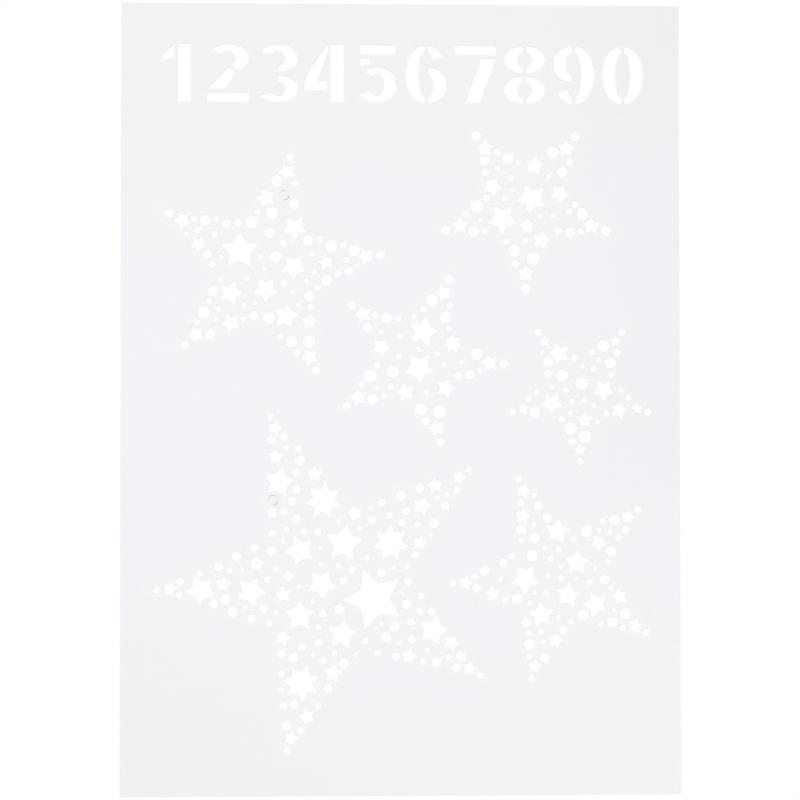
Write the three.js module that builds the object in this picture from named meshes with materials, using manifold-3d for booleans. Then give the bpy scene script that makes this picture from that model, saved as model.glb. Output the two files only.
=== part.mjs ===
// A star stencil: one thin sheet of frosted plastic that lies flat. Six five-pointed star figures
// are drawn in it by small star-shaped and round cut-outs, below a row of bridged numerals. In two
// of the round cut-outs the disc that was cut free still sits in its hole.
// Sizes are millimetres. X runs along the short side, Y along the long side towards the numerals,
// and Z up through the thickness. The origin is under the sheet's centre, on what it lies on.

import * as THREE from 'three';
import { mergeVertices } from 'three/addons/utils/BufferGeometryUtils.js';
import Module from 'manifold-3d';

// The sheet's short side, long side and thickness.
const sheetWidth = 210;
const sheetLength = 297;
const sheetThickness = 0.5;

// The plain rim that no star cut-out enters, the least web between two cut-outs, the web between
// two dots of a row, and the one around the loose dots between the stars of a figure's middle.
const rim = 10;
const web = 0.8;
const rowWeb = 1.1;
const middleWeb = 1.6;

// The row of numerals: its characters, height, place and strokes. The bridge is the strip that
// parts two strokes of one numeral and holds the island between them, and each bend of a stroke
// is drawn in twice as many steps.
const numerals = '1234567890';
const numeralHeight = 21.8;
const numeralGap = 3;
const rowSideMargin = 13.5;
const rowTopMargin = 15.4;
const thickStroke = 5;
const thinStroke = 2.4;
const barStroke = 3.6;
const bridge = 1.3;
const strokeSteps = 3;

// The star cut-outs inside the figures, by how far their points reach.
const grandStar = 12.3;
const largeStar = 7.4;
const mediumStar = 6;
const smallStar = 5.1;
const slightStar = 4.5;
const tinyStar = 4;
const leastStar = 3.4;
const starWaist = 0.49;

// The round cut-outs. Dots follow each other in this rhythm, as shares of their figure's dot
// radius. Those below the finest radius are too small for this model and are passed over.
const dotRhythm = [1.2, 0.75, 1.3, 0.8, 1.1, 0.7, 1, 0.85];
const finestDot = 1.15;
const dotSides = 6;

// Along a figure's edges the dots start behind the tip, are tried at this spacing, and stand in
// from the outline by these distances in turn.
// Inside they are tried at so many places to a square millimetre of the figure's square, and the
// middle, where they lie wider apart, ends at this share of the figure's reach.
const edgeStart = 9;
const edgeStep = 0.3;
const edgeInsets = [0.1, 0.8, 0, 1.1, 0.4];
const innerTries = 0.2;
const middleShare = 0.4;

// How far a tip's star is turned from pointing out of the tip, in degrees.
const tipStarTurn = 36;

// The two discs that were never pushed out, and the cut line around them.
const discRadius = 1.6;
const discSides = 16;
const kerf = 0.3;

// The six figures: where each stands from the sheet's centre, how far its outline reaches, the
// outline's waist as a share of that, how far its first tip leans clockwise from straight up, the
// mean radius of its dots, the dot and the star in each tip, and where a disc was left. Each star
// is placed across and up from the figure's centre, as shares of its reach, with its own reach,
// its lean and, where they aren't five, its points.
const figures = [
  {
    across: -50, up: 49, reach: 47, waist: 0.42, lean: 11,
    dot: 1.65, tipDot: 1.6, tipStar: 3.6, disc: [0.13, 0.58],
    stars: [
      [-0.23, 0.14, largeStar, 0], [0.2, 0.01, smallStar, 36], [-0.3, -0.2, smallStar, 20],
      [-0.02, -0.17, smallStar, 36], [0.21, 0.32, smallStar, 36], [0.14, -0.38, smallStar, 11],
      [-0.3, -0.44, tinyStar, -25], [-0.02, 0.56, tinyStar, -16], [0.46, 0.05, leastStar, -15],
      [0.33, -0.43, leastStar, 0], [-0.56, 0.19, leastStar, 36],
    ],
  },
  {
    across: 46.9, up: 73.3, reach: 36.7, waist: 0.43, lean: 36,
    dot: 1.75, tipDot: 1.75, tipStar: 3.6,
    stars: [
      [0.06, 0.06, mediumStar, -25], [-0.24, -0.15, mediumStar, 36], [0.35, 0.11, tinyStar, 30],
      [0.16, -0.37, tinyStar, 12], [-0.34, 0.18, tinyStar, 28], [0.09, 0.4, tinyStar, 8],
    ],
  },
  {
    across: 6.3, up: 14.9, reach: 36.7, waist: 0.43, lean: 21,
    dot: 1.75, tipDot: 1.6, tipStar: 3.6,
    stars: [
      [0.05, 0.28, mediumStar, 14], [0.01, -0.09, mediumStar, 35], [-0.38, 0.12, tinyStar, 30],
      [0.35, 0.16, tinyStar, 0, 7], [-0.13, -0.34, tinyStar, -14], [0.28, -0.3, tinyStar, 20],
    ],
  },
  {
    across: 67.3, up: 3.3, reach: 30.5, waist: 0.455, lean: 36,
    dot: 1.75, tipDot: 1.4, tipStar: 2.5,
    stars: [
      [0.29, 0, slightStar, 36], [-0.35, -0.16, slightStar, 36], [-0.26, 0.45, slightStar, -19],
      [0.02, 0.08, leastStar, 10, 7], [0.48, -0.25, leastStar, 14], [0.06, -0.37, leastStar, 0],
    ],
  },
  {
    across: -25.7, up: -68, reach: 69.5, waist: 0.42, lean: -21,
    dot: 1.35, tipDot: 1.3, tipStar: 3.1, disc: [-0.32, 0.43],
    stars: [
      [0.22, -0.1, grandStar, -20], [-0.05, 0.43, largeStar, 5, 7], [0.31, 0.2, largeStar, 0, 7],
      [-0.17, -0.55, largeStar, 20, 7], [0.06, 0.2, largeStar, 8], [-0.18, 0.16, mediumStar, -21],
      [-0.29, 0.53, mediumStar, 10], [-0.71, -0.05, mediumStar, -30], [-0.44, -0.06, mediumStar, 24],
      [-0.06, -0.02, mediumStar, 30], [-0.18, -0.19, mediumStar, 0], [0.05, -0.29, mediumStar, 9],
      [0.54, -0.27, mediumStar, 15], [0, -0.5, tinyStar, 10], [0.48, 0.4, tinyStar, 20],
      [0.12, 0.36, leastStar, -15], [-0.27, -0.08, leastStar, -10], [-0.59, -0.02, leastStar, 10],
      [0.47, 0.2, leastStar, 15], [0.41, -0.41, leastStar, 10], [-0.1, 0.57, leastStar, 0],
      [-0.31, 0.665, leastStar, 2], [0.55, 0.51, leastStar, -10], [-0.27, -0.31, leastStar, 15],
      [0.64, -0.34, leastStar, 25], [-0.14, -0.73, leastStar, -20], [-0.41, 0.09, leastStar, 5],
    ],
  },
  {
    across: 58.6, up: -66.8, reach: 43.5, waist: 0.42, lean: -21.7,
    dot: 1.55, tipDot: 1.4, tipStar: 3.1,
    stars: [
      [-0.28, -0.02, mediumStar, 36], [0, 0.39, smallStar, 8], [0.17, 0.12, smallStar, 3],
      [0.09, -0.16, smallStar, 8], [0.33, -0.24, smallStar, -22], [-0.14, -0.33, smallStar, -8],
      [0.36, 0.29, leastStar, 36], [0.54, -0.17, leastStar, -14], [-0.02, -0.55, leastStar, 10],
      [-0.56, -0.15, leastStar, -10], [-0.3, 0.52, leastStar, 12],
    ],
  },
];

const tipCount = 5;
const degree = Math.PI / 180;
const point = (x, y) => new THREE.Vector2(x, y);

// A point at a distance from another, in a direction given clockwise from straight up.
function offset(from, distance, lean) {
  return point(from.x + distance * Math.sin(lean), from.y + distance * Math.cos(lean));
}

// A star with straight sides, as points in turn.
function starOutline(centre, reach, lean, points = tipCount, waist = starWaist) {
  return Array.from({ length: 2 * points }, (unused, k) => {
    const distance = k % 2 === 0 ? reach : reach * waist;
    return offset(centre, distance, lean - (k * Math.PI) / points);
  });
}

// A regular polygon with the area of a circle, and with a corner straight up.
function roundOutline(centre, radius, sides) {
  const step = (2 * Math.PI) / sides;
  const corner = radius * Math.sqrt(step / Math.sin(step));
  return Array.from({ length: sides }, (unused, k) => offset(centre, corner, -k * step));
}

function segmentDistance(p, a, b) {
  const along = b.clone().sub(a);
  const share = THREE.MathUtils.clamp(p.clone().sub(a).dot(along) / along.lengthSq(), 0, 1);
  return p.distanceTo(a.clone().addScaledVector(along, share));
}

function outlineDistance(p, outline) {
  const sides = outline.map((a, k) => segmentDistance(p, a, outline[(k + 1) % outline.length]));
  return Math.min(...sides);
}

// Whether a closed outline holds a point: a ray from it crosses the outline an odd number of times.
function holds(outline, p) {
  let inside = false;
  outline.forEach((a, k) => {
    const b = outline[(k + 1) % outline.length];
    const crossing = a.x + ((p.y - a.y) * (b.x - a.x)) / (b.y - a.y);
    if (a.y > p.y !== b.y > p.y && p.x < crossing) inside = !inside;
  });
  return inside;
}

function boundingCircle(outline) {
  const box = new THREE.Box2().setFromPoints(outline);
  const centre = box.getCenter(point(0, 0));
  return { centre, reach: Math.max(...outline.map((p) => p.distanceTo(centre))) };
}

// Every cut-out so far, as its outline and the circle around it.
const cutouts = [];

function addCutout(outline) {
  cutouts.push({ outline, ...boundingCircle(outline) });
}

function tooNear(outline, circle, other, gap) {
  if (circle.centre.distanceTo(other.centre) > circle.reach + other.reach + gap) return false;
  const meets = (p, shape) => holds(shape, p) || outlineDistance(p, shape) < gap;
  return outline.some((p) => meets(p, other.outline)) || other.outline.some((p) => meets(p, outline));
}

// Cuts an outline where it stays inside the rim and leaves a web to every other cut-out.
function cutIfClear(outline, gap) {
  const inside = (p) => Math.abs(p.x) < sheetWidth / 2 - rim && Math.abs(p.y) < sheetLength / 2 - rim;
  const circle = boundingCircle(outline);
  const clear = outline.every(inside) && !cutouts.some((other) => tooNear(outline, circle, other, gap));
  if (clear) addCutout(outline);
  return clear;
}

// A stroke that bends: part of an elliptic ring, thick at its sides and thin above and below.
function ringStroke(x, y, outerX, outerY, fromDegrees, toDegrees) {
  const stroke = new THREE.Shape();
  const from = fromDegrees * degree;
  const to = toDegrees * degree;
  stroke.absellipse(x, y, outerX, outerY, from, to, false);
  stroke.absellipse(x, y, outerX - thickStroke, outerY - thinStroke, to, from, true);
  return stroke.getPoints(strokeSteps);
}

const barBetween = (x0, y0, x1, y1) => [point(x0, y0), point(x1, y0), point(x1, y1), point(x0, y1)];
const straightStroke = (...corners) => corners.map(([x, y]) => point(x, y));
const halfTurn = (stroke) => stroke.map((p) => point(-p.x, -p.y));

// The strokes of each numeral around its own centre, in a box of the given half width and height.
function numeralStrokes(numeral, halfWidth, halfHeight) {
  const a = halfWidth;
  const b = halfHeight;
  const halfRing = a - bridge / 2;
  const smallBowl = (2 * b - bridge) / 4;
  const smallBowlUp = b - smallBowl;
  const bigBowl = 0.62 * b;
  const bigBowlDown = b - bigBowl;
  const stemRight = 0.8 * a;
  const stemLeft = stemRight - thickStroke;
  const leftHalf = ringStroke(-bridge / 2, 0, halfRing, b, 90, 270);
  const rightHalf = ringStroke(bridge / 2, 0, halfRing, b, -90, 90);
  const sixStrokes = [
    leftHalf,
    ringStroke(bridge / 2, 0, halfRing, b, 38, 90),
    ringStroke(bridge / 2, -bigBowlDown, halfRing, bigBowl, -90, 90),
  ];
  const strokes = {
    0: [leftHalf, rightHalf],
    1: [
      barBetween(stemLeft - 0.2 * a, -b, stemRight - 0.2 * a, b),
      straightStroke(
        [-0.75 * a, 0.42 * b], [stemLeft - 0.2 * a - bridge, 0.52 * b],
        [stemLeft - 0.2 * a - bridge, b], [-0.75 * a, 0.64 * b],
      ),
    ],
    2: [
      ringStroke(0, smallBowlUp, a, smallBowl, -62, 150),
      straightStroke(
        [-a, barStroke + bridge - b], [1.3 * thickStroke - a, barStroke + bridge - b],
        [0.36 * a, 0.01 * b], [0.04 * a, 0.22 * b],
      ),
      barBetween(-a, -b, a, barStroke - b),
    ],
    3: [
      ringStroke(0, smallBowlUp, a, smallBowl, -90, 150),
      ringStroke(0, -smallBowlUp, a, smallBowl, -150, 90),
    ],
    4: [
      barBetween(stemLeft, -b, stemRight, b),
      straightStroke(
        [-a, -0.25 * b - barStroke], [stemLeft - bridge, -0.25 * b - barStroke],
        [stemLeft - bridge, -0.25 * b], [0.8 * thickStroke - a, -0.25 * b],
        [stemLeft - bridge, 0.72 * b], [stemLeft - bridge, b], [-a, -0.1 * b],
      ),
    ],
    5: [
      barBetween(-0.8 * a, b - barStroke, 0.9 * a, b),
      barBetween(-0.8 * a, 0.3 * b, 0.7 * thickStroke - 0.8 * a, b - barStroke - bridge),
      ringStroke(0, -bigBowlDown, a, bigBowl, -150, 128),
    ],
    6: sixStrokes,
    7: [
      barBetween(-a, b - barStroke, a, b),
      straightStroke(
        [-0.5 * a, -b], [1.1 * thickStroke - 0.5 * a, -b],
        [a, b - barStroke - bridge], [a - 1.1 * thickStroke, b - barStroke - bridge],
      ),
    ],
    8: [
      ringStroke(-bridge / 2, smallBowlUp, halfRing, smallBowl, 90, 270),
      ringStroke(bridge / 2, smallBowlUp, halfRing, smallBowl, -90, 90),
      ringStroke(-bridge / 2, -smallBowlUp, halfRing, smallBowl, 90, 270),
      ringStroke(bridge / 2, -smallBowlUp, halfRing, smallBowl, -90, 90),
    ],
    9: sixStrokes.map(halfTurn),
  };
  return strokes[numeral];
}

// Cuts the row of numerals, which fills the sheet's width between its side margins.
function cutNumerals() {
  const pitch = (sheetWidth - 2 * rowSideMargin + numeralGap) / numerals.length;
  const halfWidth = (pitch - numeralGap) / 2;
  const y = sheetLength / 2 - rowTopMargin - numeralHeight / 2;
  [...numerals].forEach((numeral, k) => {
    const centre = point((k - (numerals.length - 1) / 2) * pitch, y);
    numeralStrokes(numeral, halfWidth, numeralHeight / 2).forEach((stroke) => {
      addCutout(stroke.map((p) => p.clone().add(centre)));
    });
  });
}

const figureCentre = (figure) => point(figure.across, figure.up);

function placeIn(figure, across, up) {
  return figureCentre(figure).add(point(across, up).multiplyScalar(figure.reach));
}

// A round cut-out with its disc still in it.
const discFigures = figures.filter((figure) => figure.disc);
const discCentres = discFigures.map((figure) => placeIn(figure, ...figure.disc));

function cutDiscHoles() {
  discCentres.forEach((centre) => addCutout(roundOutline(centre, discRadius + kerf, discSides)));
}

// Each tip ends in a dot that the outline just holds, with a star behind it.
function cutTips(figure, outline) {
  const tip = outline[0];
  const halfAngle = outline[1].clone().sub(tip).angleTo(figureCentre(figure).sub(tip));
  const dotBack = figure.tipDot / Math.sin(halfAngle);
  const starStep = figure.tipDot + figure.tipStar + web / 2;
  for (let k = 0; k < tipCount; k += 1) {
    const lean = figure.lean * degree + (k * 2 * Math.PI) / tipCount;
    const dotCentre = offset(figureCentre(figure), figure.reach - dotBack, lean);
    cutIfClear(roundOutline(dotCentre, figure.tipDot, dotSides), web);
    const starCentre = offset(dotCentre, -starStep, lean);
    cutIfClear(starOutline(starCentre, figure.tipStar, lean + tipStarTurn * degree), web);
  }
}

function cutStars(figure) {
  figure.stars.forEach(([across, up, reach, lean, points]) => {
    cutIfClear(starOutline(placeIn(figure, across, up), reach, lean * degree, points), web);
  });
}

const dotRadius = (figure, turn) => figure.dot * dotRhythm[turn % dotRhythm.length];

// Dots in a row along one side of a tip, just inside the figure's outline.
function cutEdgeRow(figure, from, to, inward, firstTurn) {
  const along = to.clone().sub(from).normalize();
  const length = from.distanceTo(to);
  let turn = firstTurn;
  let reached = edgeStart;
  while (reached < length) {
    const radius = dotRadius(figure, turn);
    const depth = radius + edgeInsets[turn % edgeInsets.length];
    const centre = from.clone().addScaledVector(along, reached).addScaledVector(inward, depth);
    const cut = radius >= finestDot && cutIfClear(roundOutline(centre, radius, dotSides), web);
    if (cut || radius < finestDot) {
      turn += 1;
      reached += radius + rowWeb + dotRadius(figure, turn);
    } else {
      reached += edgeStep;
    }
  }
}

function cutEdgeRows(figure, outline) {
  for (let k = 0; k < outline.length; k += 1) {
    const ends = [outline[k], outline[(k + 1) % outline.length]];
    const fromTip = k % 2 === 0 ? ends : ends.reverse();
    const along = fromTip[1].clone().sub(fromTip[0]).normalize();
    const inward = k % 2 === 0 ? point(-along.y, along.x) : point(along.y, -along.x);
    cutEdgeRow(figure, fromTip[0], fromTip[1], inward, 3 * k);
  }
}

// Loose dots inside, tried at places that spread evenly: each step adds two fixed fractions, the
// powers of 1 / 1.3247, and keeps what is left after whole turns.
function cutInnerDots(figure, outline) {
  const spread = 1 / 1.3247;
  let turn = 0;
  const tries = innerTries * figure.reach * figure.reach;
  for (let k = 1; k <= tries; k += 1) {
    const across = 2 * ((k * spread) % 1) - 1;
    const up = 2 * ((k * spread * spread) % 1) - 1;
    const centre = placeIn(figure, across, up);
    if (dotRadius(figure, turn) < finestDot) turn += 1;
    const radius = dotRadius(figure, turn);
    const inside = holds(outline, centre) && outlineDistance(centre, outline) > radius;
    const gap = Math.hypot(across, up) < middleShare ? middleWeb : web;
    if (inside && cutIfClear(roundOutline(centre, radius, dotSides), gap)) turn += 1;
  }
}

function cutFigure(figure) {
  const lean = figure.lean * degree;
  const outline = starOutline(figureCentre(figure), figure.reach, lean, tipCount, figure.waist);
  cutStars(figure);
  cutTips(figure, outline);
  cutEdgeRows(figure, outline);
  cutInnerDots(figure, outline);
}

const wasm = await Module();
wasm.setup();

function toManifold(geometry) {
  geometry.deleteAttribute('normal');
  geometry.deleteAttribute('uv');
  const merged = mergeVertices(geometry, 1e-4);
  const vertProperties = new Float32Array(merged.attributes.position.array);
  const triVerts = new Uint32Array(merged.index.array);
  return new wasm.Manifold(new wasm.Mesh({ numProp: 3, vertProperties, triVerts }));
}

function fromManifold(solid) {
  const { vertProperties, triVerts } = solid.getMesh();
  const geometry = new THREE.BufferGeometry();
  geometry.setAttribute('position', new THREE.BufferAttribute(vertProperties, 3));
  geometry.setIndex(new THREE.BufferAttribute(triVerts, 1));
  return geometry.toNonIndexed();
}

// The flat sheet, with a prism through both of its faces taken away for each cut-out.
function sheetGeometry() {
  const sheet = new THREE.BoxGeometry(sheetWidth, sheetLength, sheetThickness);
  sheet.translate(0, 0, sheetThickness / 2);
  const shapes = cutouts.map(({ outline }) => new THREE.Shape(outline));
  const prisms = new THREE.ExtrudeGeometry(shapes, { depth: 3 * sheetThickness, bevelEnabled: false });
  prisms.translate(0, 0, -sheetThickness);
  return fromManifold(toManifold(sheet).subtract(toManifold(prisms)));
}

function discGeometry(centre) {
  const shape = new THREE.Shape(roundOutline(centre, discRadius, discSides));
  return new THREE.ExtrudeGeometry(shape, { depth: sheetThickness, bevelEnabled: false });
}

function frostedPlastic() {
  return new THREE.MeshStandardMaterial({ color: 0xf2f3f6, roughness: 0.5, metalness: 0 });
}

function namedMesh(name, geometry) {
  geometry.computeVertexNormals();
  const mesh = new THREE.Mesh(geometry, frostedPlastic());
  mesh.name = name;
  return mesh;
}

cutNumerals();
cutDiscHoles();
figures.forEach(cutFigure);

const discNames = ['uncleared_disc_upper', 'uncleared_disc_lower'];
const stencil = new THREE.Group();
stencil.add(namedMesh('stencil_sheet', sheetGeometry()));
discCentres.forEach((centre, k) => stencil.add(namedMesh(discNames[k], discGeometry(centre))));

export default stencil;
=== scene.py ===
"""The finished look of the star stencil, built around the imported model.

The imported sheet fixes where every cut-out lies. Its outlines are read back and given the soft
corners and smooth bends of a real cut, the finest dots are added between them, and the sheet is
made again as one closed surface with a rounded, slightly raised rim along each cut. The two
uncleared discs are made again in the same way.

Metres, with X along the short side, Y towards the numerals and Z up from what the sheet lies on.
"""

import math

import bpy
import numpy as np
from mathutils.geometry import delaunay_2d_cdt
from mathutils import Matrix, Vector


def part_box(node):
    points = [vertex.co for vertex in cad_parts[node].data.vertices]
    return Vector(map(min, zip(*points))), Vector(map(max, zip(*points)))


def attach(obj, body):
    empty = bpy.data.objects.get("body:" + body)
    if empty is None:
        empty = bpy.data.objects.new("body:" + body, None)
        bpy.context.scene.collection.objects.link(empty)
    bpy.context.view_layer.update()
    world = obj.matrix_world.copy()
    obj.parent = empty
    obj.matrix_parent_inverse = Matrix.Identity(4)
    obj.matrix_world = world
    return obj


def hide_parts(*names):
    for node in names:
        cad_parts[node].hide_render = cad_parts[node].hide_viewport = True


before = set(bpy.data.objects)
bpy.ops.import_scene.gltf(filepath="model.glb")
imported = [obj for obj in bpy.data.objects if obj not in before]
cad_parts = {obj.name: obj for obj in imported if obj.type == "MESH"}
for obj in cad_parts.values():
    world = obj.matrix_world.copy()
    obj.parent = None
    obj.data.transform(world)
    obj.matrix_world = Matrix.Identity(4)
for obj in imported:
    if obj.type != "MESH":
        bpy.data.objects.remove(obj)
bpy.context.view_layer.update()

MM = 0.001
METRE_DECIMALS = 6
FULL_TURN = 2 * math.pi

# Half the sheet's sides, its thickness, and the rim that every cut leaves: how far each line of it
# lies from the cut, and its height. From the underside it goes round a small roll-over, up the
# wall, over a raised bead and down to the flat top. Last is how much of each line is cut edge.
HALF_WIDTH = 105 * MM
HALF_LENGTH = 148.5 * MM
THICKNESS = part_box("stencil_sheet")[1].z
FLAT_TOP = THICKNESS - 0.014 * MM
RIM_PROFILE = (
    (0.07 * MM, 0.0),
    (0.0, 0.07 * MM),
    (0.0, THICKNESS - 0.09 * MM),
    (0.035 * MM, THICKNESS - 0.02 * MM),
    (0.1 * MM, THICKNESS),
    (0.26 * MM, FLAT_TOP),
)
RIM_SHARE = (0.4, 1.0, 1.0, 1.0, 0.8, 0.0)

# An outline's corner that turns further than this is sharp. It is rounded to one radius where the
# cut-out ends in it, and to another where the plastic does, through so many points. A corner that
# turns less than the least turn is none.
LEAST_TURN = math.radians(1)
SHARP_TURN = math.radians(45)
CUT_RADIUS = 0.06 * MM
PLASTIC_RADIUS = 0.31 * MM
ROUNDING_POINTS = 3

# What an outline is, by its corners, and the height from which it belongs to a numeral. Each side
# is drawn in so many steps.
DOT_CORNERS = 6
DISC_HOLE_CORNERS = 16
STAR_CORNERS = (10, 14)
NUMERALS_FROM = 110 * MM
SIDE_STEPS = 4
SMALL_STAR_SIDE_STEPS = 2

# The one star that reaches further than this has sides that bow towards its middle, by a share
# of their length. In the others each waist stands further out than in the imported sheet.
GRAND_STAR = 10 * MM
GRAND_BOW = 0.03
STAR_WAIST_OUT = 1.1

# The discs that were never pushed out: their radius, that of their holes, and the arcs of the cut
# that are painted dark as the shadow in the kerf where a disc sits tilted, in degrees
# anticlockwise from the right. This painted shadow reaches so far from the hole's edge and fades
# over so many degrees at its ends. A faint stain has its own screen levels about each disc and
# fades between two distances from the middle.
DISC_RADIUS = 1.785 * MM
DISC_HOLE_RADIUS = 1.8 * MM
DISC_STEPS = 48
KERF_SHADOW_ARCS = {
    "upper": ((72, 128), (-98, -2)),
    "lower": ((60, 156), (-82, -18)),
}
KERF_SHADOW_REACH = 0.08 * MM
KERF_SHADOW_FADE = 14
STAIN_FADES = (3.2 * MM, 6.5 * MM)
STAIN_LEVELS = {"upper": (244.3, 244.7, 242.6), "lower": (244.5, 244.7, 244.1)}

# A dot's circle has the area of its six sides, and the larger ones are fuller, up to the circle
# around them: the radii between which this grows, and the share of the radius at either. Above
# another radius a dot has more steps.
DOT_GROWS_FROM = (1.4 * MM, 1.8 * MM)
DOT_FULLNESS = (1.01, 1.09)
LARGE_DOT_FROM = 1.5 * MM
LARGE_DOT_STEPS = 24
SMALL_DOT_STEPS = 20

# The six figures: middle and reach in millimetres, waist as a share of the reach, the lean of the
# first tip in degrees clockwise from straight up, and the share of the full web that the finest
# dots keep.
FIGURES = (
    ((-50, 49), 47, 0.42, 11, 1.0),
    ((46.9, 73.3), 36.7, 0.43, 36, 1.0),
    ((6.3, 14.9), 36.7, 0.43, 21, 0.95),
    ((67.3, 3.3), 30.5, 0.455, 36, 0.75),
    ((-25.7, -68), 69.5, 0.42, -21, 1.04),
    ((58.6, -66.8), 43.5, 0.42, -21.7, 0.85),
)
FIGURE_TIPS = 5

# The finest dots: their largest radii in turn, the least one, and the web that they keep to every
# other cut-out, which narrows from a figure's middle to its tips, by shares of the reach. They are
# chosen from so many spots, each a step of this share and its square from the one before. A rim
# counts where its middle lies within a share of the reach, for the spots that are near it.
FINE_RADII = (1.3 * MM, 1.05 * MM, 1.2 * MM, 1.0 * MM)
LEAST_RADIUS = 0.95 * MM
FINE_WEB_AT = (0.25, 0.45, 0.7)
FINE_WEB = (2.2 * MM, 1.8 * MM, 1.35 * MM)
SPOTS_PER_MM2 = 3
SPOT_STEP = 1 / 1.3247
RIMS_WITHIN = 1.1
NEAR_RIM = 16 * MM

# Screen levels of the plastic: in the sheet's middle, towards its ends, within the figures, on a
# cut edge, painted lighter there as the glow of light through the translucent edge, where such an
# edge is tinted, and the painted shadow in the kerf where a disc sits tilted. The haze within the
# figures begins outside them, and is full where they are so deep.
COOL_LEVELS = (242.6, 243.4, 247.75)
NEUTRAL_LEVELS = (242.4, 241.9, 243.2)
HAZE_LEVELS = (243.85, 243.85, 244.8)
EDGE_GLOW_LEVELS = (250, 250, 252)
TINT_LEVELS = (248, 246, 232)
KERF_SHADOW_LEVELS = (132, 128, 120)
HAZE_FADES = (-4.2 * MM, 1.8 * MM)

# The floor, and how much of it the camera sees as plain white, and the sky's light.
FLOOR_HALF_SIDE = 3
FLOOR_HEIGHT = -0.2 * MM
FLOOR_SEEN_WHITE = 0.85
SKY_LIGHT = 0.85


# ---------- outlines ----------


def upper_outlines(node):
    """The closed outlines of a flat node's upper face, each as its corners in turn.

    Corners that agree to a thousandth of a millimetre are one. A side that the face's triangles
    have in one direction only lies on an outline, with the plastic on its left. All outlines are
    followed at once by doubling, in which each corner looks 1, 2, 4 and more corners ahead. The
    least corner number on the way is the outline's label, and the count of steps to the corner
    before that one puts the corners in order.
    """
    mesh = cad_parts[node].data
    places = np.empty(3 * len(mesh.vertices), np.float32)
    mesh.vertices.foreach_get("co", places)
    loops = np.empty(len(mesh.loops), np.int32)
    mesh.loops.foreach_get("vertex_index", loops)
    triangles = places.reshape(-1, 3)[loops].reshape(-1, 3, 3).astype(float)
    upper = triangles[(triangles[:, :, 2] > THICKNESS / 2).all(axis=1), :, :2]
    places = upper.reshape(-1, 2).round(METRE_DECIMALS)
    points, number = np.unique(places, axis=0, return_inverse=True)
    start = number.reshape(-1, 3)
    end = np.roll(start, -1, axis=1)
    start, end, everyone = start.ravel(), end.ravel(), np.arange(len(points))
    lone = ~np.isin(start * len(points) + end, end * len(points) + start)
    ahead = everyone.copy()
    ahead[start[lone]] = end[lone]
    doublings = range(int(math.log2(len(points))) + 1)
    label, step = everyone, ahead
    for _ in doublings:
        label, step = np.minimum(label, label[step]), step[step]
    step = np.where(ahead == label, everyone, ahead)
    left = (step != everyone).astype(int)
    for _ in doublings:
        left, step = left + left[step], step[step]
    order = np.lexsort((-left, label))
    return np.split(points[order], np.flatnonzero(np.diff(label[order])) + 1)


def turns(corners):
    """How far each corner turns left: the angle between the side before it and the one after."""
    before = corners - np.roll(corners, 1, axis=0)
    after = np.roll(before, -1, axis=0)
    across = before[:, 0] * after[:, 1] - before[:, 1] * after[:, 0]
    return np.arctan2(across, (before * after).sum(axis=1))


def unit(vectors):
    return vectors / np.linalg.norm(vectors, axis=-1, keepdims=True)


def round_rim(middle, radius, steps):
    """A circle of so many steps, clockwise: middle plus radius times the cosine and sine."""
    angle = -FULL_TURN * np.arange(steps) / steps
    return middle + radius * np.stack([np.cos(angle), np.sin(angle)], axis=1)


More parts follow.
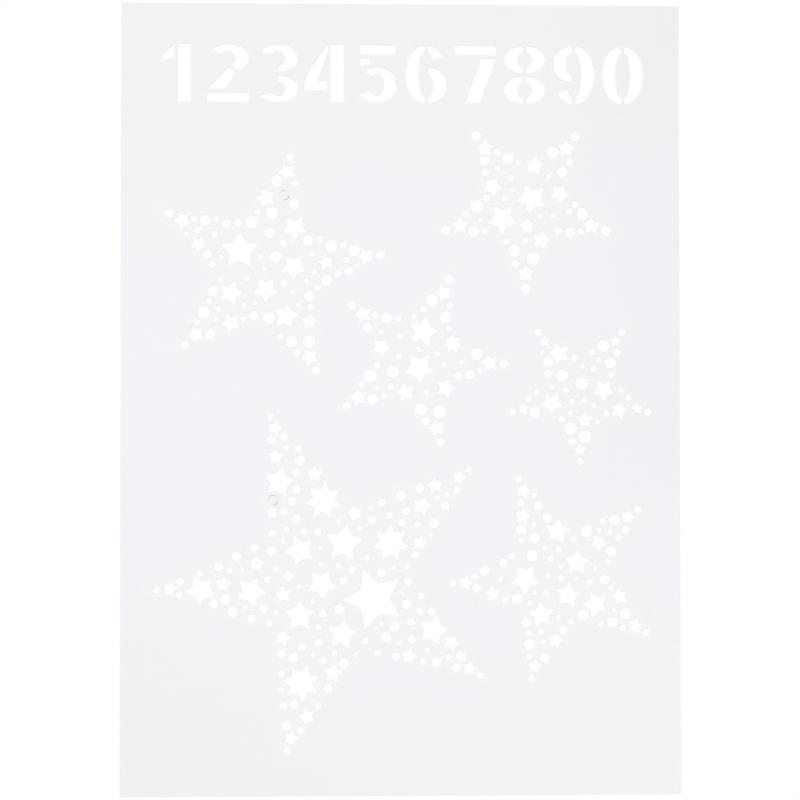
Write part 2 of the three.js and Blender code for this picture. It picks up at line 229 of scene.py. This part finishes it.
def soft_rim(corners, side_steps, bow=0.0):
    """An outline with its sharp corners rounded and its blunt ones bent into smooth curves.

    A side is the cubic between its corners with a slope at either end. At a blunt corner the slope
    is half the way from the corner before to the corner after, and at a sharp one it is twice the
    side less the other end's slope, or the side itself between two sharp ones. bow, a share of the
    side's length, draws its middle towards the outline's. A sharp corner gives way to a parabola
    that leaves each side r sin(a) / cos(a)^2 from it, where a is half the turn and r the
    parabola's least radius, or a third of the side from it if that is less.
    """
    turn = turns(corners)
    sharp = np.abs(turn) > SHARP_TURN
    side = np.roll(corners, -1, axis=0) - corners
    length = np.linalg.norm(side, axis=1)
    slope = (np.roll(corners, -1, axis=0) - np.roll(corners, 1, axis=0)) / 2
    next_sharp, next_slope = np.roll(sharp, -1), np.roll(slope, -1, axis=0)

    def end_slope(here_sharp, here_slope, other_sharp, other_slope):
        bent = np.where(other_sharp[:, None], side, 2 * side - other_slope)
        return np.where(here_sharp[:, None], bent, here_slope)

    inward = unit(corners.mean(axis=0) - (corners + side / 2)) * bow * length[:, None]
    leaving = end_slope(sharp, slope, next_sharp, next_slope)
    reaching = end_slope(next_sharp, next_slope, sharp, slope)
    on, back = unit(leaving + 4 * inward), unit(np.roll(4 * inward - reaching, 1, axis=0))
    half_turn = (np.pi - np.arccos((on * back).sum(axis=1).clip(-1, 1))) / 2
    radius = np.where(turn < 0, CUT_RADIUS, PLASTIC_RADIUS)
    trim = radius * np.sin(half_turn) / np.cos(half_turn) ** 2
    trim = np.minimum(trim, np.minimum(length, np.roll(length, 1)) / 3)

    s = np.linspace(0, 1, ROUNDING_POINTS)[None, :, None]
    trim_back, trim_on = trim[:, None, None] * back[:, None], trim[:, None, None] * on[:, None]
    rounding = corners[:, None] + (1 - s) ** 2 * trim_back + s**2 * trim_on
    rounding[~sharp, 0] = corners[~sharp]
    first = np.where(sharp, trim / length, 0)
    last = 1 - np.where(next_sharp, np.roll(trim, -1) / length, 0)
    share = (np.arange(1, side_steps) / side_steps)[None]
    t = (first[:, None] + (last - first)[:, None] * share)[:, :, None]
    a, b, m, n = (v[:, None] for v in (corners, corners + side, leaving, reaching))
    curve = (2 * t**3 - 3 * t**2 + 1) * a + (t**3 - 2 * t**2 + t) * m
    curve = curve + (3 * t**2 - 2 * t**3) * b + (t**3 - t**2) * n
    curve = curve + 4 * t * (1 - t) * inward[:, None]
    kept = np.ones((len(corners), ROUNDING_POINTS + side_steps - 1), bool)
    kept[~sharp, 1:ROUNDING_POINTS] = False
    return np.concatenate([rounding, curve], axis=1)[kept]


def area_of(corners):
    """Half the sum of each corner crossed with the next."""
    x, y = corners.T
    return abs(x @ np.roll(y, -1) - y @ np.roll(x, -1)) / 2


def finished_rim(outline):
    """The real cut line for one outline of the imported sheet, told apart by its corners.

    A dot and a disc's hole are each made a circle about the same middle. A star's waists move out
    from its middle, unless it is the grand one, and the rest are the border and the numerals.
    """
    corners = outline[np.abs(turns(outline)) > LEAST_TURN]
    middle = corners.mean(axis=0)
    if len(corners) == DOT_CORNERS:
        radius = math.sqrt(area_of(corners) / math.pi)
        radius *= float(np.interp(radius, DOT_GROWS_FROM, DOT_FULLNESS))
        steps = LARGE_DOT_STEPS if radius > LARGE_DOT_FROM else SMALL_DOT_STEPS
        return round_rim(middle, radius, steps)
    if len(corners) == DISC_HOLE_CORNERS:
        return round_rim(middle, DISC_HOLE_RADIUS, DISC_STEPS)
    if middle[1] < NUMERALS_FROM and len(corners) in STAR_CORNERS:
        if np.linalg.norm(corners - middle, axis=1).max() > GRAND_STAR:
            return soft_rim(corners, SIDE_STEPS, GRAND_BOW)
        waists = (turns(corners) > 0)[:, None]
        corners = np.where(waists, middle + STAR_WAIST_OUT * (corners - middle), corners)
        return soft_rim(corners, SMALL_STAR_SIDE_STEPS)
    return soft_rim(corners, SIDE_STEPS)


def left_normals(rim):
    """The direction into the plastic at each point: square to the line between its neighbours."""
    along = unit(np.roll(rim, -1, axis=0) - np.roll(rim, 1, axis=0))
    return np.stack([-along[:, 1], along[:, 0]], axis=1)


# ---------- the finest dots ----------


def depth_in_figure(points, middle, reach, waist, lean):
    """How deep points lie inside a star figure's outline.

    The plane is folded about the middle until it is one half of one tip. There the outline is one
    straight side from the tip to the waist, and the depth is the distance to its line.
    """
    tip_turn = FULL_TURN / FIGURE_TIPS
    across, up = (points - middle).T
    angle = np.arctan2(across, up) - lean
    folded = np.abs((angle + tip_turn / 2) % tip_turn - tip_turn / 2)
    out, aside = np.hypot(across, up) * np.array([np.cos(folded), np.sin(folded)])
    side = waist * np.array([math.cos(tip_turn / 2), math.sin(tip_turn / 2)]) - (1, 0)
    side /= np.linalg.norm(side)
    return -((out - reach) * side[1] - aside * side[0])


def room_beside(points, rim):
    """The distance from points to a rim, negative inside its cut-out: the distance to the nearest
    point of the rim, with the sign of the way from there along the direction into the plastic."""
    apart = points[:, None] - rim[None]
    distance = np.linalg.norm(apart, axis=2)
    nearest = distance.argmin(axis=1)
    everyone = np.arange(len(points))
    side = (apart[everyone, nearest] * left_normals(rim)[nearest]).sum(axis=1)
    return np.copysign(distance[everyone, nearest], side)


def fine_dots(middle, reach, waist, lean, web_share, rims):
    """The finest dots of one figure, each set where the most room is left.

    The spots spread evenly over the square about the figure: each step adds two fixed shares of
    its side and keeps what is left after whole sides. A spot's room is its distance to the nearest
    rim less a web, or to the figure's outline if that is nearer.
    """
    middle, reach, lean = np.array(middle) * MM, reach * MM, math.radians(lean)
    k = np.arange(int(SPOTS_PER_MM2 * (2 * reach / MM) ** 2))[:, None]
    spots = middle + reach * (2 * (k * np.array([SPOT_STEP, SPOT_STEP**2]) % 1) - 1)
    room = depth_in_figure(spots, middle, reach, waist, lean)
    spots, room = spots[room > LEAST_RADIUS], room[room > LEAST_RADIUS]
    out = np.linalg.norm(spots - middle, axis=1) / reach
    web = web_share * np.interp(out, FINE_WEB_AT, FINE_WEB)
    for rim in rims:
        if np.linalg.norm(rim.mean(axis=0) - middle) < RIMS_WITHIN * reach:
            near = np.linalg.norm(spots - rim.mean(axis=0), axis=1) < NEAR_RIM
            room[near] = np.minimum(room[near], room_beside(spots[near], rim) - web[near])
    dots = []
    while room.max() > LEAST_RADIUS:
        best = room.argmax()
        radius = min(room[best], FINE_RADII[len(dots) % len(FINE_RADII)])
        dots.append(round_rim(spots[best], radius, SMALL_DOT_STEPS))
        beside = np.linalg.norm(spots - spots[best], axis=1) - radius - web
        room = np.minimum(room, beside)
    return dots


# ---------- meshes ----------


def add_piece(name, points, faces, smooth, cut, kerf_shadow, material):
    """A mesh object at the origin, with how far each point is cut edge and how much painted kerf
    shadow it takes as attributes.
    """
    mesh = bpy.data.meshes.new(name)
    mesh.from_pydata(points.tolist(), [], faces)
    mesh.polygons.foreach_set("use_smooth", smooth)
    for attribute, values in (("cut", cut), ("kerf_shadow", kerf_shadow)):
        layer = mesh.attributes.new(attribute, "FLOAT", "POINT")
        layer.data.foreach_set("value", np.asarray(values, np.float32))
    mesh.materials.append(material)
    mesh.update()
    piece = bpy.data.objects.new(name, mesh)
    bpy.context.scene.collection.objects.link(piece)
    return piece


def flat_triangles(points, after, label, rank):
    """The plastic between rims, as triangles that turn left.

    The points are joined into triangles that keep every rim's sides. One whose corners all lie on
    the same rim spans a cut-out if they turn against that rim's own way, and is left out.
    """
    sides = np.stack([np.arange(len(points)), after], axis=1)
    whole_hull, closeness = 0, 1e-7
    made = delaunay_2d_cdt((points / MM).tolist(), sides.tolist(), [], whole_hull, closeness)
    crossings = [tuple(made[0][k]) for k, origin in enumerate(made[3]) if not origin]
    if crossings or len(made[0]) != len(points):
        raise RuntimeError(f"rims cross or touch, in mm at {crossings}")
    back = np.array([origin[0] for origin in made[3]])
    triangles = back[np.array(made[2])]
    a, b, c = (points[triangles[:, k]] for k in range(3))
    turned = (b - a)[:, 0] * (c - a)[:, 1] - (b - a)[:, 1] * (c - a)[:, 0] < 0
    triangles[turned] = triangles[turned, ::-1]
    own, place = label[triangles], rank[triangles]
    backward = (np.roll(place, -1, axis=1) < place).sum(axis=1) == 2
    spans = (own == own[:, :1]).all(axis=1) & backward
    return triangles[~spans]


def make_sheet(rims, material):
    """The sheet: each rim carried along the rim profile, and the flat faces between the rims.

    A point of ring j is the cut line plus the profile's inset along the direction into the
    plastic, at the profile's height. Quads join the rings, and triangles fill the first and last.
    """
    count = [len(rim) for rim in rims]
    first = np.cumsum([0, *count[:-1]])
    line, into = np.concatenate(rims), np.concatenate([left_normals(rim) for rim in rims])
    everyone = np.arange(len(line))
    label = np.repeat(np.arange(len(rims)), count)
    rank = everyone - first[label]
    after = first[label] + (rank + 1) % np.array(count)[label]
    rings = [line + inset * into for inset, _ in RIM_PROFILE]
    points = np.concatenate(
        [np.c_[ring, np.full(len(ring), z)] for ring, (_, z) in zip(rings, RIM_PROFILE)]
    )
    walls = [
        np.stack([everyone, after, after + len(line), everyone + len(line)], axis=1)
        + j * len(line)
        for j in range(len(rings) - 1)
    ]
    walls = np.concatenate(walls)
    under = flat_triangles(rings[0], after, label, rank)[:, ::-1]
    over = flat_triangles(rings[-1], after, label, rank) + (len(rings) - 1) * len(line)
    faces = [*walls.tolist(), *under.tolist(), *over.tolist()]
    smooth = np.arange(len(faces)) < len(walls)
    cut = np.repeat(RIM_SHARE, len(line))
    return add_piece("frosted_sheet", points, faces, smooth, cut, kerf_shadow_at(points), material)


def disc_middle(side):
    low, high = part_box(f"uncleared_disc_{side}")
    return np.array([(low.x + high.x) / 2, (low.y + high.y) / 2])


def kerf_shadow_at(points):
    """How much painted kerf shadow the plastic takes, from 0 to 1: the shadow where a disc sits
    tilted in its hole, fully so near the edge of a disc's hole within the shadowed arcs, and less
    by the same amount for each degree towards their ends."""
    kerf_shadow = np.zeros(len(points))
    for side, arcs in KERF_SHADOW_ARCS.items():
        across, up = (points[:, :2] - disc_middle(side)).T
        near = np.abs(np.hypot(across, up) - DISC_HOLE_RADIUS) < KERF_SHADOW_REACH
        angle = np.degrees(np.arctan2(up, across))
        for start, end in arcs:
            inside = np.minimum(angle - start, end - angle) / KERF_SHADOW_FADE
            kerf_shadow = np.maximum(kerf_shadow, near * inside.clip(0, 1))
    return kerf_shadow


def make_disc(side, material):
    """An uncleared disc: the rim profile turned about the disc's middle, closed by a flat face
    below and above."""
    middle, steps = disc_middle(side), DISC_STEPS
    rings = [
        np.c_[round_rim(middle, DISC_RADIUS - inset, steps), np.full(steps, z)]
        for inset, z in RIM_PROFILE
    ]
    points = np.concatenate(rings)
    around = np.arange(steps)
    after = (around + 1) % steps
    walls = [
        np.stack([after, around, around + steps, after + steps], axis=1) + j * steps
        for j in range(len(rings) - 1)
    ]
    walls = np.concatenate(walls).tolist()
    ends = [around.tolist(), (around[::-1] + (len(rings) - 1) * steps).tolist()]
    smooth = [True] * len(walls) + [False] * 2
    name, cut = f"stuck_disc_{side}", np.repeat(RIM_SHARE, steps)
    return add_piece(name, points, walls + ends, smooth, cut, kerf_shadow_at(points), material)


# ---------- materials ----------


def linear(*levels):
    """Screen levels from 0 to 255 as the light that they stand for."""
    share = np.array(levels) / 255
    light = np.where(share <= 0.04045, share / 12.92, ((share + 0.055) / 1.055) ** 2.4)
    return (*light.tolist(), 1.0)


class Wire:
    """A node's output in a material. Sums on it add Math nodes, also with a number on its left."""

    def __init__(self, tree, output):
        self.tree, self.output = tree, output

    def node(self, kind, settings=None, inputs=None, output=0):
        """Adds a node: its settings first, then its inputs' values or wires by name or number."""
        made = self.tree.nodes.new(kind)
        for name, value in (settings or {}).items():
            setattr(made, name, value)
        for name, value in (inputs or {}).items():
            if isinstance(value, Wire):
                self.tree.links.new(value.output, made.inputs[name])
            else:
                made.inputs[name].default_value = value
        return Wire(self.tree, made.outputs[output] if made.outputs else None)

    def maths(self, operation, *values, clamp=False):
        settings = {"operation": operation, "use_clamp": clamp}
        return self.node("ShaderNodeMath", settings, dict(enumerate(values)))

    def __add__(self, other):
        return self.maths("ADD", self, other)

    def __mul__(self, other):
        return self.maths("MULTIPLY", self, other)

    def __sub__(self, other):
        return self.maths("SUBTRACT", self, other)

    def __rsub__(self, other):
        return self.maths("SUBTRACT", other, self)

    def __pow__(self, other):
        return self.maths("POWER", self, other)

    __radd__, __rmul__ = __add__, __mul__

    def clamped(self):
        return self.maths("ADD", self, 0.0, clamp=True)

    def ramp(self, start, end):
        """How far the value has come from one number to another, as a share from 0 to 1."""
        return ((self - start) * (1 / (end - start))).clamped()

    def blend(self, factor, first, second):
        """A colour between two: the first at factor 0, the second at 1."""
        inputs = {0: factor, 6: first, 7: second}
        return self.node("ShaderNodeMix", {"data_type": "RGBA"}, inputs, 2)


def new_material(name):
    """A material with an empty node tree, and a wire to build from."""
    material = bpy.data.materials.new(name)
    material.use_nodes = True
    material.node_tree.nodes.clear()
    return material, Wire(material.node_tree, None)


def distance_from(x, y, middle):
    """The root of the sum of the squares of the ways along X and Y, as Math nodes."""
    across, up = x - float(middle[0]), y - float(middle[1])
    return (across * across + up * up) ** 0.5


def depth_in_figures(x, y):
    """How deep a place lies inside the nearest figure, as Math nodes for depth_in_figure's sum.

    The angle from a tip swings to and fro between a tip and the waist beside it. Beyond a tip it
    is no deeper than the way back to the tip along its line.
    """
    half_tip = FULL_TURN / FIGURE_TIPS / 2
    deepest = None
    for middle, reach, waist, lean, _ in FIGURES:
        middle = np.array(middle) * MM
        angle = x.maths("ARCTAN2", x - float(middle[0]), y - float(middle[1])) - math.radians(lean)
        folded = angle.maths("PINGPONG", angle, half_tip)
        distance = distance_from(x, y, middle)
        side = unit(waist * np.array([math.cos(half_tip), math.sin(half_tip)]) - (1, 0)).tolist()
        out = distance * folded.maths("COSINE", folded) - reach * MM
        depth = distance * folded.maths("SINE", folded) * side[0] - out * side[1]
        depth = depth.maths("MINIMUM", depth, 0 - out)
        deepest = depth.maths("MAXIMUM", depth, deepest) if deepest else depth
    return deepest


def frosted_plastic():
    """Frosted polypropylene: nearly white, and cooler in the sheet's middle than near its ends.

    Within the figures, where the haze of the cutting lies on it, it is neutral in tone, and a
    faint warm stain lies about the discs' cuts. Cloudy patches, faint draw lines along the sheet
    and a fine grain vary its lightness by about a hundredth, and painted shade, where the light
    falls off, makes it up to two hundredths darker at the right and in the lower left corner and a
    little lighter low on the right. The grain is its bump too. Cut edges are glossier and painted
    lighter, as the glow of light through the translucent edge, with a faint warm tint in places,
    and the kerf arcs where a disc sits tilted are painted dark as their shadow.
    """
    material, wire = new_material("frosted polypropylene")
    place = wire.node("ShaderNodeTexCoord", output="Object")
    x, y = (wire.node("ShaderNodeSeparateXYZ", {}, {0: place}, axis) for axis in range(2))

    def vector(operation, inputs):
        return wire.node("ShaderNodeVectorMath", {"operation": operation}, inputs)

    def noise(scale, detail, roughness=0.5, at=place):
        inputs = {"Vector": at, "Scale": scale, "Detail": detail, "Roughness": roughness}
        return wire.node("ShaderNodeTexNoise", {}, inputs, "Fac")

    def attribute(name):
        return wire.node("ShaderNodeAttribute", {"attribute_name": name}, output="Fac")

    clouds = noise(14.0, 2.0)
    lines = noise(1.0, 3.0, 0.6, vector("MULTIPLY", {0: place, 1: (900.0, 9.0, 1.0)}))
    grain = noise(3600.0, 2.0, 0.6)
    cut, kerf_shadow = attribute("cut"), attribute("kerf_shadow")

    # Where on the sheet: from -1 to 1 along it, how near an end, and how far into other regions.
    up = y * (1 / HALF_LENGTH)
    end = up.maths("ABSOLUTE", up)
    left = x.ramp(0.0, -HALF_WIDTH)
    low_right = x.ramp(0.0, HALF_WIDTH) * up.ramp(-0.35, -0.55)
    # The right side and the lower left corner are where painted shade darkens the sheet below.
    right = x.ramp(50 * MM, 100 * MM) * y.ramp(-60 * MM, -15 * MM)
    corner = (left - up - 1.15).clamped()

    neutral = end**3 * 0.8 + left * end * 0.5 + (clouds - 0.5) * 0.9
    neutral = neutral + (up - 0.3).clamped() * 0.6 + low_right * 0.25
    colour = wire.blend(neutral.clamped(), linear(*COOL_LEVELS), linear(*NEUTRAL_LEVELS))
    haze = depth_in_figures(x, y).ramp(*HAZE_FADES)
    colour = wire.blend(haze, colour, linear(*HAZE_LEVELS))
    for side, levels in STAIN_LEVELS.items():
        stain = 1 - distance_from(x, y, disc_middle(side)).ramp(*STAIN_FADES)
        colour = wire.blend(stain, colour, linear(*levels))

    light = (clouds - 0.5) * 0.012 + (lines - 0.5) * 0.012 + (grain - 0.5) * 0.02
    # Painted shade: darker at the right and in the lower left corner, and a little lighter low on
    # the right, where the light falls off across the sheet.
    light = light - right * 0.022 - corner * 0.018 + low_right * 0.006
    colour = vector("SCALE", {0: colour, "Scale": light + 1.0})
    warm = noise(60.0, 1.0).ramp(0.5, 0.7) * cut
    # Painted light: cut edges are lighter, as the glow of light through the translucent edge,
    # which offsets the shade of the rim.
    colour = wire.blend(cut * 0.5, colour, linear(*EDGE_GLOW_LEVELS))
    colour = wire.blend(warm * 0.3, colour, linear(*TINT_LEVELS))
    # Painted shadow: the kerf arcs where a disc sits tilted in its hole are painted dark.
    colour = wire.blend(kerf_shadow, colour, linear(*KERF_SHADOW_LEVELS))

    rough = (grain - 0.5) * 0.12 + (clouds - 0.5) * 0.06 + 0.46 - cut * 0.16
    bump = {"Height": grain * (1 - cut * 0.7), "Strength": 0.35, "Distance": 0.02 * MM}
    normal = wire.node("ShaderNodeBump", {}, bump)
    shader = {
        "Base Color": colour,
        "Roughness": rough,
        "Normal": normal,
        "IOR": 1.49,
        "Alpha": 0.9,
    }
    surface = wire.node("ShaderNodeBsdfPrincipled", {}, shader)
    wire.node("ShaderNodeOutputMaterial", {}, {"Surface": surface})
    return material


def pale_floor():
    """A floor that the camera, mirrors and glass see almost white, with some of its real shade."""
    material, wire = new_material("pale floor")
    seen = [
        wire.node("ShaderNodeLightPath", output=ray)
        for ray in ("Is Camera Ray", "Is Glossy Ray", "Is Transmission Ray")
    ]
    seen = seen[0].maths("MAXIMUM", seen[0], seen[1].maths("MAXIMUM", seen[1], seen[2]))
    matt = wire.node("ShaderNodeBsdfDiffuse", {}, {"Color": (0.97, 0.97, 0.97, 1.0)})
    white = wire.node("ShaderNodeEmission", {}, {"Color": (1.0, 1.0, 1.0, 1.0), "Strength": 1.0})
    seen = seen * FLOOR_SEEN_WHITE
    surface = wire.node("ShaderNodeMixShader", {}, {0: seen, 1: matt, 2: white})
    wire.node("ShaderNodeOutputMaterial", {}, {"Surface": surface})
    return material


# ---------- the object ----------


plastic = frosted_plastic()
rims = [finished_rim(outline) for outline in upper_outlines("stencil_sheet")]
rims += [dot for figure in FIGURES for dot in fine_dots(*figure, rims)]

sheet = make_sheet(rims, plastic)
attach(sheet, "sheet")
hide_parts("stencil_sheet")
for side in KERF_SHADOW_ARCS:
    disc = make_disc(side, plastic)
    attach(disc, f"disc_{side}")
    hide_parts(f"uncleared_disc_{side}")


# ---------- floor, light and camera ----------


floor_mesh = bpy.data.meshes.new("floor")
quarters = ((-1, -1), (1, -1), (1, 1), (-1, 1))
corners = [(x * FLOOR_HALF_SIDE, y * FLOOR_HALF_SIDE, FLOOR_HEIGHT) for x, y in quarters]
floor_mesh.from_pydata(corners, [], [(0, 1, 2, 3)])
floor_mesh.materials.append(pale_floor())
floor = bpy.data.objects.new("floor", floor_mesh)
bpy.context.scene.collection.objects.link(floor)

world = bpy.data.worlds.new("studio")
bpy.context.scene.world = world
world.use_nodes = True
world.node_tree.nodes.clear()
sky = Wire(world.node_tree, None)
camera_ray = sky.node("ShaderNodeLightPath", output="Is Camera Ray")
strength = camera_ray * (1 - SKY_LIGHT) + SKY_LIGHT
inputs = {"Color": (1.0, 1.0, 1.0, 1.0), "Strength": strength}
backdrop = sky.node("ShaderNodeBackground", {}, inputs)
sky.node("ShaderNodeOutputWorld", {}, {"Surface": backdrop})

lamp_data = bpy.data.lights.new("overhead light", "SUN")
lamp_data.energy = 0.95
lamp_data.angle = math.radians(50)
lamp = bpy.data.objects.new("overhead light", lamp_data)
lamp.rotation_euler = (math.radians(-28), math.radians(-34), 0)
bpy.context.scene.collection.objects.link(lamp)

camera_data = bpy.data.cameras.new("camera")
camera_data.lens = 100
camera_data.sensor_width = 36
camera_data.clip_start, camera_data.clip_end = 0.01, 20
camera = bpy.data.objects.new("camera", camera_data)
camera.location = (-0.03159, -0.01962, 0.83348)
camera.rotation_euler = (math.radians(1.3073), math.radians(-2.1398), math.radians(-0.0163))
bpy.context.scene.collection.objects.link(camera)
bpy.context.scene.camera = camera
bpy.context.scene.view_settings.view_transform = "Standard"
